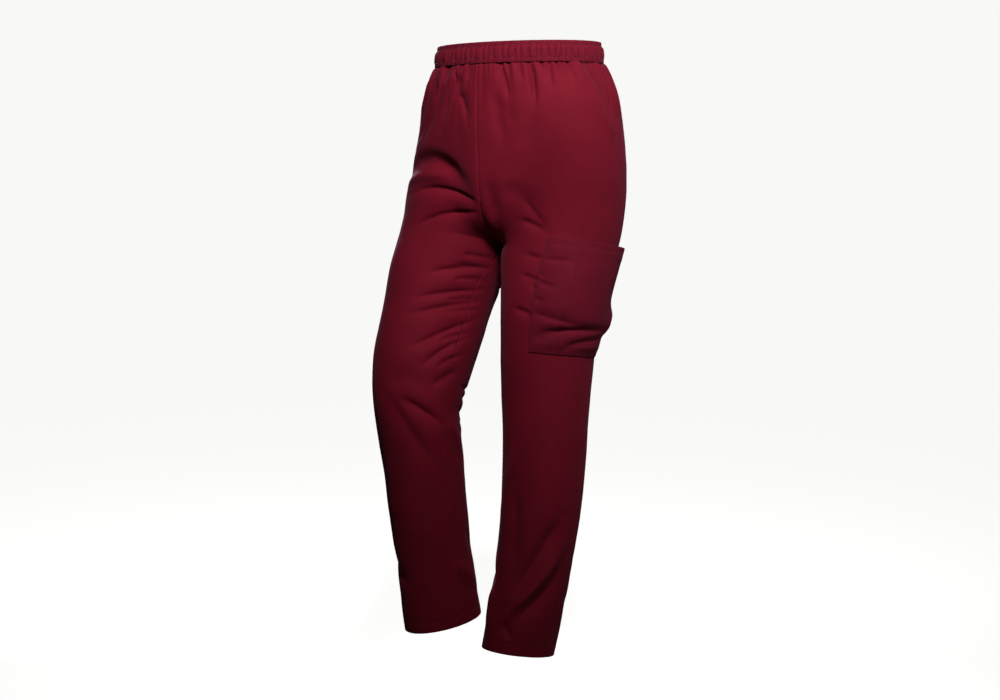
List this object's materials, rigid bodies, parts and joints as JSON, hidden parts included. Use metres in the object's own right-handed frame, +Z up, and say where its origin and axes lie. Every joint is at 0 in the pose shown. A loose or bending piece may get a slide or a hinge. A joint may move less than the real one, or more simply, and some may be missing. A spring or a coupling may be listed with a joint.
{
  "type": "scrub trousers",
  "caption": "Loose burgundy scrub trousers with a gathered elastic waist, slanted hip pockets and a cargo pocket, in their worn, filled-out shape.",
  "frame": {"origin": "centre of the waistband at half its height, where the wearer's waist holds the trousers", "axes": "+Z up from the legs through the waistband, -Y towards the wearer's front, +X towards the wearer's left"},
  "size_m": [0.4045, 0.333, 1.0117],
  "materials": {
    "burgundy_twill": "burgundy poly-cotton twill, matt with a slight sheen on the folds",
    "burgundy_facing": "the same burgundy twill, in the shade of the pocket opening",
    "burgundy_pocket": "the same burgundy twill, topstitched",
    "burgundy_waistband": "the same burgundy twill, pleated over elastic"
  },
  "bodies": {
    "root": {"front_left": "burgundy_twill", "front_right": "burgundy_twill", "back_left": "burgundy_twill", "back_right": "burgundy_twill", "hip_facing_left": "burgundy_facing", "hip_facing_right": "burgundy_facing", "cargo_pocket": "burgundy_pocket", "waistband": "burgundy_waistband"}
  },
  "joints": []
}
